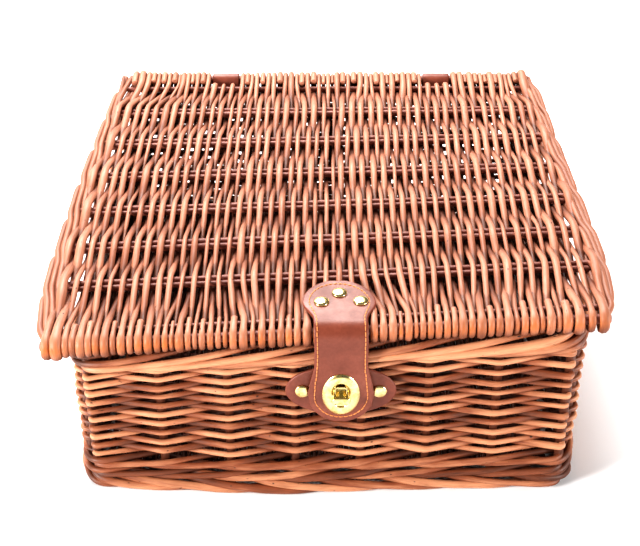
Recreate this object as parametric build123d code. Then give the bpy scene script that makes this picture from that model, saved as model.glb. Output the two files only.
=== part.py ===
from build123d import *
import os

# Square willow hamper with a hinged woven lid, a leather front strap and a brass turn lock.
# All sizes are in millimetres. +Z is up and the front of the basket faces -Y.

# ---------------------------------------------------------------- driving dimensions
foot_top = 16.0
waling_top = 38.0
weave_top = 117.0
rim_top = 140.5
lid_bottom = 141.0
lid_thickness = 15.0

# each ring of the body: half width, half depth and thickness of its four sides
foot_ring = (185.0, 193.0, 17.0)
waling_ring = (183.0, 191.5, 15.0)
weave_ring = (181.0, 190.5, 13.0)
rim_ring = (185.0, 192.0, 14.0)

base_half_x = 168.0
base_half_y = 176.0
base_bottom = 8.0
base_top = 20.0
base_stick_diameter = 8.0
base_stick_pitch = 50.0
base_stick_count = 7

stake_diameter = 7.0
stake_bottom = 3.0
stake_height = 131.0
stakes_per_wall = 8
front_stake_pitch = 48.3
side_stake_pitch = 49.2
wall_stake_x = 174.5
wall_stake_y = 184.0

lid_edge_stick_y = 188.0
lid_edge_stick_diameter = 8.0
lid_front_inner_y = -174.0
lid_back_inner_y = 170.5
lid_stick_diameter = 6.0
lid_pair_gap = 0.2
lid_row_y = [-121.0, -73.0, -24.0, 26.0, 77.0, 128.0]
lid_stick_half = 180.0
lid_front_stick_half = 183.0
lid_back_stick_half = 176.0
lid_border_width = 12.0
lid_border_height = 11.0

loop_x = {"left": -92.0, "right": 100.0}
loop_width = 24.0
loop_leather = 2.2
loop_clearance = 0.3
loop_slot_bottom = 126.0
notch_side_room = 3.0
notch_front_y = 174.5

strap_x = 9.0
leather = 3.0
strap_waist_half = 19.0
strap_gap = 0.3
tab_flare_half = 25.3
tab_flare_y = -160.0
tab_end_y = -140.6
tongue_flare_half = 23.8
tongue_flare_z = 96.0
tongue_waist_z = 128.0
tongue_end_z = 74.2
slot_width = 9.5
slot_height = 21.0
lock_z = 100.0

patch_half_width = 40.0
patch_half_height = 22.5
patch_thickness = 2.5
patch_z = 98.4
patch_rivet_spacing = 27.6
eyelet_width = 27.3
eyelet_height = 37.8
eyelet_thickness = 1.6
eyelet_back_thickness = 1.2
base_plate_width = 24.0
base_plate_height = 33.0
base_plate_thickness = 1.2
prong_spacing = 12.0
prong_width = 4.0
prong_thickness = 1.0
back_plate_thickness = 1.2
boss_width = 7.4
boss_height = 17.0
boss_corner = 1.5
boss_front = -201.2

rivet_head_diameter = 11.0
rivet_head_height = 2.4
rivet_shank_diameter = 3.0
burr_diameter = 9.0
burr_thickness = 1.0
strap_rivet_spots = [(-13.9, -167.5), (-1.1, -156.8), (14.0, -166.4)]

button_shank_diameter = 6.0
button_running_clearance = 0.05
button_flange_diameter = 9.0
button_flange_thickness = 1.6
button_flange_room = 0.4
button_head_width = 13.5
button_head_height = 5.8
button_head_back = 204.2
button_head_front = 207.0
button_head_rounding = 1.0

# ---------------------------------------------------------------- derived places
lid_top = lid_bottom + lid_thickness
lid_middle = lid_bottom + lid_thickness / 2
lid_reach = lid_edge_stick_y + lid_thickness / 2
wall_front = -weave_ring[1]
wall_inside = wall_front + weave_ring[2]
patch_front = wall_front - patch_thickness
base_plate_front = patch_front - base_plate_thickness
tongue_back = -(lid_reach + strap_gap)
tongue_front = tongue_back - leather
fold_y = tongue_back - leather / 2
fold_z = lid_top + leather / 2
fold_radius = leather / 2
eyelet_back_inner = tongue_back + eyelet_back_thickness

# The turn button stands out further at the front than the lid does at the back, so the
# whole hamper is moved back by half the difference: the origin is the middle of its box.
origin_shift = (button_head_front - lid_reach) / 2

os.makedirs("parts", exist_ok=True)


def save(shape, node):
    """Write one node, moved so that the origin is the bottom centre of the whole box."""
    export_step(Pos(0, origin_shift, 0) * shape, f"parts/{node}.step")


def block(low, high):
    """A box between two opposite corners."""
    size = [b - a for a, b in zip(low, high)]
    middle = [(a + b) / 2 for a, b in zip(low, high)]
    return Pos(*middle) * Box(*size)


def rod_x(half_length, y, z, diameter):
    """A round stick along X, centred on x = 0."""
    return Pos(0, y, z) * Rot(0, 90, 0) * Cylinder(diameter / 2, 2 * half_length)


def rod_y(x, z, y_front, y_back, diameter):
    """A round bar along Y between two places."""
    length = y_back - y_front
    return Pos(x, (y_front + y_back) / 2, z) * Rot(90, 0, 0) * Cylinder(diameter / 2, length)


def rod_z(x, y, z_low, z_high, diameter):
    """A round bar along Z between two heights."""
    return Pos(x, y, (z_low + z_high) / 2) * Cylinder(diameter / 2, z_high - z_low)


def facing_front(sketch, y_front, y_back):
    """Extrude a sketch drawn as (x, height) through the depth from y_front to y_back."""
    plane = Plane(origin=(0, y_back, 0), x_dir=(1, 0, 0), z_dir=(0, -1, 0))
    return extrude(plane * sketch, y_back - y_front)


def flat_on(sketch, z_low, z_high):
    """Extrude a sketch drawn as (x, y) between two heights."""
    return extrude(Pos(0, 0, z_low) * sketch, z_high - z_low)


def side_on(sketch, x_low, x_high):
    """Extrude a sketch drawn as (y, z) between two places along X."""
    plane = Plane(origin=(x_low, 0, 0), x_dir=(0, 1, 0), z_dir=(1, 0, 0))
    return extrude(plane * sketch, x_high - x_low)


def domed_head(x, y, z, direction):
    """The head of a domed rivet: a cap of a ball standing on a surface, pointing along direction."""
    radius = rivet_head_diameter / 2
    ball = (radius**2 + rivet_head_height**2) / (2 * rivet_head_height)
    cap = Pos(0, 0, rivet_head_height - ball) * Sphere(ball)
    cap &= Pos(0, 0, rivet_head_height / 2) * Box(4 * radius, 4 * radius, rivet_head_height)
    return Plane(origin=(x, y, z), z_dir=direction) * cap


# ---------------------------------------------------------------- body of the basket
def ring_side(ring, z_low, z_high, side):
    """One of the four mitred sides of a square ring."""
    half_x, half_y, thickness = ring
    outer = [(-half_x, -half_y), (half_x, -half_y), (half_x, half_y), (-half_x, half_y)]
    inner = [
        (-half_x + thickness, -half_y + thickness),
        (half_x - thickness, -half_y + thickness),
        (half_x - thickness, half_y - thickness),
        (-half_x + thickness, half_y - thickness),
    ]
    first = ["front", "right", "back", "left"].index(side)
    second = (first + 1) % 4
    corners = [outer[first], outer[second], inner[second], inner[first]]
    return flat_on(make_face(Polyline(*corners, close=True)), z_low, z_high)


def wall_stakes(side):
    """The stakes inside one wall. The outermost two stand beside the corners."""
    stakes = []
    for index in range(stakes_per_wall):
        step = index - (stakes_per_wall - 1) / 2
        if side in ("front", "back"):
            x = step * front_stake_pitch
            y = wall_stake_y if side == "back" else -wall_stake_y
        else:
            x = wall_stake_x if side == "right" else -wall_stake_x
            y = step * side_stake_pitch
        stakes.append(rod_z(x, y, stake_bottom, stake_bottom + stake_height, stake_diameter))
    return stakes


def hinge_loop(x):
    """A closed leather loop round the lid's back edge stick and the upper part of the rim."""
    rim_outer = rim_ring[1]
    rim_inner = rim_outer - rim_ring[2]
    hole_radius = lid_edge_stick_diameter / 2 + loop_clearance

    def outline(margin):
        low_y = rim_inner - margin
        high_y = rim_outer + margin
        low_z = loop_slot_bottom + loop_leather - margin
        box = Polyline((low_y, low_z), (high_y, low_z), (high_y, rim_top), (low_y, rim_top), close=True)
        ring = CenterArc((lid_edge_stick_y, lid_middle), hole_radius + margin, 0, 360)
        return make_hull(box.edges() + ring.edges())

    band = outline(loop_leather) - outline(0)
    return side_on(band, x - loop_width / 2, x + loop_width / 2)


hinge_loops = {side: hinge_loop(x) for side, x in loop_x.items()}


def patch_rivet_places():
    """The two places where the lock patch is riveted to the wall."""
    return [(strap_x - patch_rivet_spacing, patch_z), (strap_x + patch_rivet_spacing, patch_z)]


def prongs(y_front, y_back):
    """The two flat prongs of the lock's base plate, above and below the button."""
    bars = []
    for z in (lock_z - prong_spacing, lock_z + prong_spacing):
        low = (strap_x - prong_width / 2, y_front, z - prong_thickness / 2)
        high = (strap_x + prong_width / 2, y_back, z + prong_thickness / 2)
        bars.append(block(low, high))
    return bars


def patch_blank():
    """The oval leather patch behind the lock, before its holes are cut."""
    oval = Pos(strap_x, patch_z) * Ellipse(patch_half_width, patch_half_height)
    return facing_front(oval, patch_front, wall_front)


def save_body_walls():
    """The foot, waling, woven walls and rim, each as four sides with holes for the stakes."""
    sides = {side: wall_stakes(side) for side in ("front", "back", "left", "right")}
    for side, stakes in sides.items():
        save(Compound(stakes), f"stakes_{side}")

    flange_back = patch_front + button_flange_thickness + button_flange_room
    flange_pocket = rod_y(strap_x, lock_z, wall_front - 1, flange_back, button_flange_diameter + 1)
    lock_cuts = prongs(patch_front, wall_inside + 5)
    lock_cuts += [rod_y(x, z, patch_front, wall_inside + 5, rivet_shank_diameter) for x, z in patch_rivet_places()]
    lock_cuts.append(flange_pocket)
    levels = {
        "foot_border": (foot_ring, 0.0, foot_top),
        "waling": (waling_ring, foot_top, waling_top),
        "wall_weave": (weave_ring, waling_top, weave_top),
        "rim_border": (rim_ring, weave_top, rim_top),
    }
    for name, (ring, z_low, z_high) in levels.items():
        for side, stakes in sides.items():
            panel = ring_side(ring, z_low, z_high, side)
            for stake in stakes:
                panel -= stake
            if name == "wall_weave" and side == "front":
                for cut in lock_cuts:
                    panel -= cut
            if name == "rim_border" and side == "front":
                panel -= patch_blank()
            if name == "rim_border" and side == "back":
                for loop in hinge_loops.values():
                    panel -= loop
            save(panel, f"{name}_{side}")


def save_base():
    """The woven bottom and the thick sticks inside it."""
    middle_z = (base_bottom + base_top) / 2
    sticks = []
    for index in range(base_stick_count):
        y = (index - (base_stick_count - 1) / 2) * base_stick_pitch
        sticks.append(rod_x(base_half_x - 2, y, middle_z, base_stick_diameter))
    weave = block((-base_half_x, -base_half_y, base_bottom), (base_half_x, base_half_y, base_top))
    for stick in sticks:
        weave -= stick
    save(weave, "base_weave")
    save(Compound(sticks), "base_sticks")


def save_hinges():
    for side, loop in hinge_loops.items():
        save(loop, f"hinge_loop_{side}")


# ---------------------------------------------------------------- turn lock on the front wall
def plate(width, height, y_front, y_back):
    """A flat oval plate on the lock's centre."""
    return facing_front(Pos(strap_x, lock_z) * Ellipse(width / 2, height / 2), y_front, y_back)


def slot(y_front, y_back):
    """The upright slot that the turn button comes through."""
    sketch = Pos(strap_x, lock_z) * SlotOverall(slot_height, slot_width, rotation=90)
    return facing_front(sketch, y_front, y_back)


def save_lock():
    """The leather patch, its rivets, the lock's plates and the turn button."""
    patch = patch_blank()
    base_plate = plate(base_plate_width, base_plate_height, base_plate_front, patch_front)
    back_plate = plate(base_plate_width, base_plate_height, wall_inside, wall_inside + back_plate_thickness)
    base_prongs = prongs(patch_front, wall_inside + back_plate_thickness)
    for prong in base_prongs:
        patch -= prong
        back_plate -= prong
        base_plate += prong
    boss = Pos(strap_x, lock_z) * RectangleRounded(boss_width, boss_height, boss_corner)
    base_plate += facing_front(boss, boss_front, base_plate_front)
    running_hole = button_shank_diameter + 2 * button_running_clearance
    base_plate -= rod_y(strap_x, lock_z, boss_front - 1, patch_front + 1, running_hole)
    patch -= rod_y(strap_x, lock_z, patch_front - 1, wall_front + 1, button_flange_diameter + 1)

    rivets = []
    burrs = []
    for x, z in patch_rivet_places():
        shank = rod_y(x, z, patch_front, wall_inside + burr_thickness, rivet_shank_diameter)
        patch -= shank
        rivets.append(shank + domed_head(x, patch_front, z, (0, -1, 0)))
        burr = rod_y(x, z, wall_inside, wall_inside + burr_thickness, burr_diameter)
        burrs.append(burr - shank)
    save(patch, "lock_patch")
    save(base_plate, "lock_base_plate")
    save(back_plate, "lock_back_plate")
    save(Compound(rivets), "patch_rivets")
    save(Compound(burrs), "patch_burrs")

    flange_front = patch_front + button_flange_room / 2
    flange_back = flange_front + button_flange_thickness
    spindle = rod_y(strap_x, lock_z, -button_head_back, flange_back, button_shank_diameter)
    spindle += rod_y(strap_x, lock_z, flange_front, flange_back, button_flange_diameter)
    sketch = Pos(strap_x, lock_z) * SlotOverall(button_head_width, button_head_height)
    head = facing_front(sketch, -button_head_front, -button_head_back)
    head = fillet(head.faces().sort_by(Axis.Y)[0].edges(), button_head_rounding)
    save(spindle, "button_spindle")
    save(head, "button_head")


# ---------------------------------------------------------------- lid
def side_edge(sign, inset):
    """One long side of the lid from its front corner round to its back corner, as (x, y) arcs."""
    front = (sign * (196.0 - inset), -184.0)
    front_mid = (sign * (204.5 - inset), -160.0)
    widest = (sign * (208.5 - inset), -120.0)
    middle = (sign * (203.5 - inset), 15.0)
    back = (sign * (194.0 - inset), 160.0)
    back_mid = (sign * (190.5 - inset), 178.0)
    corner = (sign * (183.5 - inset / 2), 190.0)
    arcs = [
        ThreePointArc(front, front_mid, widest),
        ThreePointArc(widest, middle, back),
        ThreePointArc(back, back_mid, corner),
    ]
    return arcs, front, corner


def lid_panel_face():
    """The outline of the woven panel inside the two side borders."""
    right, right_front, right_corner = side_edge(1, lid_border_width)
    left, left_front, left_corner = side_edge(-1, lid_border_width)
    back_right = (right_corner[0], lid_reach)
    back_left = (left_corner[0], lid_reach)
    front_right = (right_front[0], -lid_reach)
    front_left = (left_front[0], -lid_reach)
    edges = right + left + [
        Line(right_corner, back_right),
        Line(back_right, back_left),
        Line(back_left, left_corner),
        Line(left_front, front_left),
        Line(front_left, front_right),
        Line(front_right, right_front),
    ]
    return make_face([edge for line in edges for edge in line.edges()])


def lid_sticks():
    """Every stick that runs across the lid, as node name to a list of solids."""
    offset = (lid_stick_diameter + lid_pair_gap) / 2
    sticks = {}
    for number, y in enumerate(lid_row_y, start=1):
        pair = [rod_x(lid_stick_half, y + side * offset, lid_middle, lid_stick_diameter) for side in (-1, 1)]
        sticks[f"lid_stick_pair_{number}"] = pair
    front = rod_x(lid_front_stick_half, -lid_edge_stick_y, lid_middle, lid_edge_stick_diameter)
    back = rod_x(lid_back_stick_half, lid_edge_stick_y, lid_middle, lid_edge_stick_diameter)
    sticks["lid_front_stick"] = [front]
    sticks["lid_front_inner_stick"] = [rod_x(lid_stick_half, lid_front_inner_y, lid_middle, lid_stick_diameter)]
    sticks["lid_back_inner_stick"] = [rod_x(lid_stick_half - 7, lid_back_inner_y, lid_middle, lid_stick_diameter)]
    sticks["lid_back_stick"] = [back]
    return sticks


def save_lid():
    """The woven panel with its cross sticks and the two side borders."""
    rounded = Pos(0, lid_middle) * SlotOverall(2 * lid_reach, lid_thickness)
    panel = flat_on(lid_panel_face(), lid_bottom, lid_top) & side_on(rounded, -210, 210)
    for node, solids in lid_sticks().items():
        for stick in solids:
            panel -= stick
        save(Compound(solids), node)
    for x in loop_x.values():
        room = loop_width / 2 + notch_side_room
        panel -= block((x - room, notch_front_y, lid_bottom - 1), (x + room, lid_reach + 1, lid_top + 1))
    for x, y in strap_rivet_spots:
        panel -= rod_z(strap_x + x, y, lid_bottom - 1, lid_top + 1, rivet_shank_diameter)
    for stick in lid_sticks()["lid_back_stick"]:
        panel -= stick
    save(panel, "lid_weave")

    border_low = lid_middle - lid_border_height / 2
    for side, sign in (("left", -1), ("right", 1)):
        outer, outer_front, outer_corner = side_edge(sign, 0)
        inner, inner_front, inner_corner = side_edge(sign, lid_border_width)
        lines = outer + inner + [Line(outer_front, inner_front), Line(outer_corner, inner_corner)]
        face = make_face([edge for line in lines for edge in line.edges()])
        save(flat_on(face, border_low, border_low + lid_border_height), f"lid_border_{side}")


# ---------------------------------------------------------------- strap
def save_strap():
    """The leather tab riveted to the lid, and the tongue that hangs from it with its eyelet."""
    waist = strap_waist_half
    tab_front = -lid_reach
    tab_lines = [
        Line((waist, tab_front), (waist, tab_front + 12)),
        Line((waist, tab_front + 12), (tab_flare_half, tab_flare_y)),
        ThreePointArc((tab_flare_half, tab_flare_y), (0, tab_end_y), (-tab_flare_half, tab_flare_y)),
        Line((-tab_flare_half, tab_flare_y), (-waist, tab_front + 12)),
        Line((-waist, tab_front + 12), (-waist, tab_front)),
        Line((-waist, tab_front), (waist, tab_front)),
    ]
    tab_face = make_face([edge for line in tab_lines for edge in line.edges()])
    tab = flat_on(Pos(strap_x, 0) * tab_face, lid_top, lid_top + leather)
    rivets = []
    burrs = []
    for x, y in strap_rivet_spots:
        shank = rod_z(strap_x + x, y, lid_bottom - burr_thickness, lid_top + leather, rivet_shank_diameter)
        tab -= shank
        rivets.append(shank + domed_head(strap_x + x, y, lid_top + leather, (0, 0, 1)))
        burr = rod_z(strap_x + x, y, lid_bottom - burr_thickness, lid_bottom, burr_diameter)
        burrs.append(burr - shank)
    save(tab, "strap_tab")
    save(Compound(rivets), "strap_rivets")
    save(Compound(burrs), "strap_burrs")

    tongue_lines = [
        Line((waist, fold_z), (waist, tongue_waist_z)),
        Line((waist, tongue_waist_z), (tongue_flare_half, tongue_flare_z)),
        ThreePointArc((tongue_flare_half, tongue_flare_z), (0, tongue_end_z), (-tongue_flare_half, tongue_flare_z)),
        Line((-tongue_flare_half, tongue_flare_z), (-waist, tongue_waist_z)),
        Line((-waist, tongue_waist_z), (-waist, fold_z)),
        Line((-waist, fold_z), (waist, fold_z)),
    ]
    tongue_face = make_face([edge for line in tongue_lines for edge in line.edges()])
    tongue = facing_front(Pos(strap_x, 0) * tongue_face, tongue_front, tongue_back)
    tongue += Pos(strap_x, 0, 0) * rod_x(waist, fold_y, fold_z, 2 * fold_radius)
    tongue -= slot(tongue_front - 1, tongue_back + 1)
    eyelet_front = tongue_front - eyelet_thickness
    eyelet = plate(eyelet_width, eyelet_height, eyelet_front, tongue_front)
    eyelet -= slot(eyelet_front - 1, tongue_front + 1)
    back = plate(eyelet_width - 3, eyelet_height - 3, tongue_back, eyelet_back_inner)
    back -= slot(tongue_back - 1, eyelet_back_inner + 1)
    save(tongue, "strap_tongue")
    save(eyelet, "eyelet_plate")
    save(back, "eyelet_back_plate")


save_base()
save_body_walls()
save_hinges()
save_lock()
save_lid()
save_strap()
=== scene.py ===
import bmesh
import bpy
import numpy as np
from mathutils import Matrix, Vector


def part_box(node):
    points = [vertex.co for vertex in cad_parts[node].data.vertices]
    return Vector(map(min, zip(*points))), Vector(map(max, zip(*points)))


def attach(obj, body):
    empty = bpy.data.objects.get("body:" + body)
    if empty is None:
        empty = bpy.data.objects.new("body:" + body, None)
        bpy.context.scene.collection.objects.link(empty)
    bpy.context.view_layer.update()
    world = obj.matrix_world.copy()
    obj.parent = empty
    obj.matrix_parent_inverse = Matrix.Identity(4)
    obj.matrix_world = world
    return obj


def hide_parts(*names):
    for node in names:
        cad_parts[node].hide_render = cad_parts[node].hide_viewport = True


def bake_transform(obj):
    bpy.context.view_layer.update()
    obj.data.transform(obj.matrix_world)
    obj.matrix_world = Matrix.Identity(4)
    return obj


# A square willow hamper. Every rod of the weave is a swept tube that follows its own path.
# Lengths here are in millimetres and are turned into metres when a mesh is made.

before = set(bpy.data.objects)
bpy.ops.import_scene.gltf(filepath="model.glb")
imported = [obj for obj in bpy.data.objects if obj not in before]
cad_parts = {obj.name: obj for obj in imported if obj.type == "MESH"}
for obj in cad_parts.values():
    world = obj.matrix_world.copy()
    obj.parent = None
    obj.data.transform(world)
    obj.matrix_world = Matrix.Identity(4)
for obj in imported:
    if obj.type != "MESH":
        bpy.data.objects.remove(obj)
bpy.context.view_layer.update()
rng = np.random.default_rng(11)
MM = 0.001


def box_mm(node):
    """A CAD node's lowest and highest corners in millimetres."""
    low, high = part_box(node)
    return np.array(low) / MM, np.array(high) / MM


def middle_mm(node):
    """The middle of a CAD node's box in millimetres."""
    low, high = box_mm(node)
    return (low + high) / 2


# ---------------------------------------------------------------- places taken from the frame
lid_low, lid_high = box_mm("lid_weave")
mid_y = (lid_low[1] + lid_high[1]) / 2
lid_z = (lid_low[2] + lid_high[2]) / 2
front_stick_y = middle_mm("lid_front_stick")[1]
back_stick_y = middle_mm("lid_back_stick")[1]
front_inner_y = middle_mm("lid_front_inner_stick")[1]
back_inner_y = middle_mm("lid_back_inner_stick")[1]
row_y = [middle_mm(f"lid_stick_pair_{n}")[1] for n in range(1, 7)]
loop_x = {side: middle_mm(f"hinge_loop_{side}")[0] for side in ("left", "right")}
loop_low, loop_high = box_mm("hinge_loop_left")
loop_half = (loop_high[0] - loop_low[0]) / 2
loop_leather = 2.2
loop_inner_y = loop_low[1] + loop_leather
loop_outer_y = box_mm("rim_border_back")[1][1]
strap_x = middle_mm("strap_tongue")[0]
wall_bottom = box_mm("wall_weave_front")[0][2]
rim_top = box_mm("rim_border_front")[1][2]
stake_half_x = (middle_mm("stakes_right")[0] - middle_mm("stakes_left")[0]) / 2
stake_half_y = (middle_mm("stakes_back")[1] - middle_mm("stakes_front")[1]) / 2


# ---------------------------------------------------------------- rods
def resample(points, step):
    """Points evenly spaced along a polyline."""
    points = np.asarray(points, float)
    lengths = np.linalg.norm(np.diff(points, axis=0), axis=1)
    along = np.concatenate([[0], np.cumsum(lengths)])
    count = max(int(round(along[-1] / step)) + 1, 4)
    wanted = np.linspace(0, along[-1], count)
    return np.stack([np.interp(wanted, along, points[:, k]) for k in range(3)], axis=1)


def soften(points, reach, step):
    """Rounds the corners of an evenly sampled path over about the given length, keeping its ends."""
    half = max(int(round(reach / step / 2)), 1)
    kernel = np.ones(2 * half + 1) / (2 * half + 1)
    first = 2 * points[0] - points[half:0:-1]
    last = 2 * points[-1] - points[-2:-half - 2:-1]
    padded = np.concatenate([first, points, last])
    for _ in range(2):
        smooth = np.stack([np.convolve(padded[:, k], kernel, mode="same") for k in range(3)], axis=1)
        padded = np.concatenate([first, smooth[half:-half], last])
    return padded[half:-half]


def wander(count, size, reach):
    """A smooth random drift of about the given size along a rod."""
    knots = max(count // reach, 2) + 1
    return np.interp(np.linspace(0, 1, count), np.linspace(0, 1, knots), rng.normal(0, size, knots))


# a rod's cut end: its radius as a share of the rod's, and the bevel's length as a share of a step
CUT_END = 0.84
CUT_BEVEL = 0.15


class Rods:
    """Collects swept rods and makes one mesh of them."""

    def __init__(self, up=(0, 0, 1), sides=8, step=3.0, reach=7.0, warp=None):
        self.up = np.array(up, float)
        self.sides = sides
        self.step = step
        self.reach = reach
        self.warp = warp
        self.verts = []
        self.faces = []
        self.coords = []
        self.tints = []
        self.stains = []
        self.count = 0

    def add(self, path, radius, taper=0.0, swell=None, tint=None, shade=None, stain=None,
            roughness=0.06, up=None):
        """One rod along a path. taper is how much its radius falls from start to end. tint is how pale the
        rod is, at random when it isn't given. swell, shade and stain are functions of the points: how wide
        the rod is squashed, how much it is painted paler where proud and darker where deep, as painted light
        and shade, and where it is rubbed, which on the sticks also marks where their painted shade ends."""
        points = soften(resample(path, self.step), self.reach, self.step)
        bevel = (points[[1, -2]] - points[[0, -1]]) * CUT_BEVEL
        first, last = points[:1], points[-1:]
        points = np.concatenate([first, first + bevel[0], points[1:-1], last + bevel[1], last])
        n = len(points)
        t = np.linspace(0, 1, n)
        radii = radius * (1 + taper * (0.5 - t)) * (1 + wander(n, roughness, 5))
        radii[[0, -1]] *= CUT_END
        tangent = np.gradient(points, axis=0)
        tangent /= np.linalg.norm(tangent, axis=1, keepdims=True) + 1e-9
        side = np.cross(self.up if up is None else up, tangent)
        side /= np.linalg.norm(side, axis=1, keepdims=True) + 1e-9
        over = np.cross(tangent, side)
        angle = np.linspace(0, 2 * np.pi, self.sides, endpoint=False) + rng.uniform(0, 1)
        cos, sin = np.cos(angle), np.sin(angle)
        wide = np.ones(n) if swell is None else swell(points)
        ring = side[:, None] * cos[None, :, None] / np.sqrt(wide)[:, None, None]
        ring += over[:, None] * sin[None, :, None] * wide[:, None, None]
        verts = points[:, None] + ring * radii[:, None, None]
        along = np.concatenate([[0], np.cumsum(np.linalg.norm(np.diff(points, axis=0), axis=1))])
        seed = rng.uniform(0, 900)
        coords = np.empty((n, self.sides, 3))
        coords[..., 0] = cos * radius
        coords[..., 1] = sin * radius
        coords[..., 2] = along[:, None] + seed
        tone = rng.uniform(0, 1) if tint is None else tint
        # tones: the rod's tint plus its painted light and shade
        tones = np.full(n, tone) + (0 if shade is None else shade(points))
        marks = np.zeros(n) if stain is None else stain(points)
        ends = points[[0, -1]]
        if self.warp is not None:
            verts = self.warp(verts.reshape(-1, 3)).reshape(verts.shape)
            ends = self.warp(ends)
        base = self.count
        grid = base + np.arange(n * self.sides).reshape(n, self.sides)
        a, b = grid[:-1], grid[1:]
        quads = np.stack([a, np.roll(a, -1, 1), np.roll(b, -1, 1), b], axis=-1).reshape(-1, 4)
        first, last = base + n * self.sides, base + n * self.sides + 1
        caps = [[first, int(grid[0][(k + 1) % self.sides]), int(grid[0][k])] for k in range(self.sides)]
        caps += [[last, int(grid[-1][k]), int(grid[-1][(k + 1) % self.sides])] for k in range(self.sides)]
        self.verts.append(np.concatenate([verts.reshape(-1, 3), ends]))
        self.faces += quads.tolist() + caps
        self.coords.append(np.concatenate([coords.reshape(-1, 3), [[0, 0, seed], [0, 0, along[-1] + seed]]]))
        self.tints.append(np.concatenate([np.repeat(tones, self.sides), tones[[0, -1]]]))
        self.stains.append(np.concatenate([np.repeat(marks, self.sides), marks[[0, -1]]]))
        self.count += n * self.sides + 2

    def make(self, name, material, body, slot, nodes):
        """The mesh object of all the rods, riding on a body in place of some CAD nodes."""
        mesh = mesh_mm(name, np.concatenate(self.verts), self.faces)
        mesh.polygons.foreach_set("use_smooth", [True] * len(mesh.polygons))
        coords = mesh.attributes.new("rod", "FLOAT_VECTOR", "POINT")
        coords.data.foreach_set("vector", np.concatenate(self.coords).ravel())
        # the tint attribute carries each rod's tone together with its painted light and shade
        for label, values in (("tint", self.tints), ("stain", self.stains)):
            layer = mesh.attributes.new(label, "FLOAT", "POINT")
            layer.data.foreach_set("value", np.concatenate(values))
        mesh.update()
        return place(mesh, name, material, body, nodes)


def mesh_mm(name, verts, faces):
    """A mesh from points in millimetres."""
    mesh = bpy.data.meshes.new(name)
    mesh.from_pydata((verts * MM).tolist(), [], faces)
    return mesh


def place(mesh, name, material, body, nodes=()):
    """Puts a finished mesh in the scene on its body."""
    piece = bpy.data.objects.new(name, mesh)
    bpy.context.scene.collection.objects.link(piece)
    mesh.materials.append(material)
    if body is not None:
        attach(piece, body)
    if nodes:
        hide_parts(*nodes)
    return piece


# ---------------------------------------------------------------- materials
class Graph:
    """The nodes of a material or of the world, with short ways to add to them."""

    def __init__(self, owner, last):
        owner.use_nodes = True
        self.owner = owner
        self.nodes = owner.node_tree.nodes
        self.links = owner.node_tree.links
        self.last = self.nodes[last]

    def feed(self, made, inputs):
        """Gives a node's inputs, by name or number, their links or plain values."""
        for key, value in inputs.items():
            socket = made.inputs[key]
            if isinstance(value, bpy.types.NodeSocket):
                self.links.new(value, socket)
            else:
                socket.default_value = (*value, 1) if socket.type == "RGBA" else value

    def add(self, kind, inputs, **settings):
        """A new node."""
        made = self.nodes.new(kind)
        for key, value in settings.items():
            setattr(made, key, value)
        self.feed(made, inputs)
        return made

    def finish(self, inputs):
        """Feeds the last node, and gives the material or the world."""
        self.feed(self.last, inputs)
        return self.owner

    def noise(self, vector, scale, detail, roughness):
        """The value of a noise texture."""
        inputs = {"Vector": vector, "Scale": scale, "Detail": detail, "Roughness": roughness}
        return self.add("ShaderNodeTexNoise", inputs).outputs["Fac"]

    def stretch(self, vector, scale):
        """Coordinates scaled along each axis."""
        return self.add("ShaderNodeMapping", {"Vector": vector, "Scale": scale}).outputs["Vector"]

    def ramp(self, value, stops):
        """The colour for a value, from (place, colour) stops."""
        made = self.add("ShaderNodeValToRGB", {"Fac": value})
        elements = made.color_ramp.elements
        while len(elements) < len(stops):
            elements.new(0.5)
        for element, (spot, colour) in zip(elements, stops):
            element.position = spot
            element.color = (*colour, 1)
        return made.outputs["Color"]

    def grey_ramp(self, value, stops):
        """The grey for a value, from (place, grey) stops."""
        return self.ramp(value, [(spot, (grey, grey, grey)) for spot, grey in stops])

    def math(self, operation, *values, clamp=False):
        """The result of a math node."""
        made = self.add("ShaderNodeMath", dict(enumerate(values)), operation=operation, use_clamp=clamp)
        return made.outputs[0]

    def mix(self, factor, first, second, blend="MIX"):
        """Two colours mixed by a factor."""
        inputs = {0: factor, 6: first, 7: second}
        return self.add("ShaderNodeMix", inputs, data_type="RGBA", blend_type=blend).outputs[2]

    def bump(self, height, strength, distance):
        """The normal of a surface with a height."""
        inputs = {"Height": height, "Strength": strength, "Distance": distance}
        return self.add("ShaderNodeBump", inputs).outputs["Normal"]


def new_material(name):
    """The graph of a new Principled material."""
    return Graph(bpy.data.materials.new(name), "Principled BSDF")


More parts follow.
